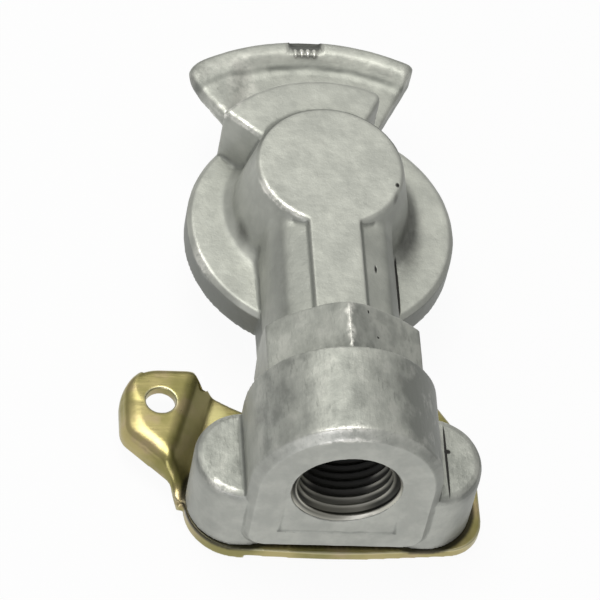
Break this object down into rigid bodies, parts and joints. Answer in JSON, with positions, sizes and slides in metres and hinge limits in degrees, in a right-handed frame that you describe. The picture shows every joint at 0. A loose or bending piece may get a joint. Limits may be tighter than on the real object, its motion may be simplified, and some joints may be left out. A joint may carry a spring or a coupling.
{
  "type": "gladhand air brake coupler",
  "caption": "Cast gladhand coupling with a round seal face, a curved coupling lug, a wrench hexagon, a threaded hose port and a riveted connector plate with a raised tab.",
  "frame": {"origin": "centre of the round coupling face, in the plane that meets the face of the mating coupler", "axes": "+Z away from the coupling face to the back of the casting, -Y out of the hose port, +X to the right seen from the back with the port at the bottom"},
  "size_m": [0.0717, 0.1161, 0.0448],
  "materials": {
    "casting": "sand cast, worn",
    "plate": "zinc plated, yellow passivated",
    "seal": "moulded black",
    "rivet": "plain steel"
  },
  "bodies": {
    "root": {"body_casting": "casting", "connector_plate": "plate", "seal": "seal", "rivet_left": "rivet", "rivet_right": "rivet"}
  },
  "joints": []
}
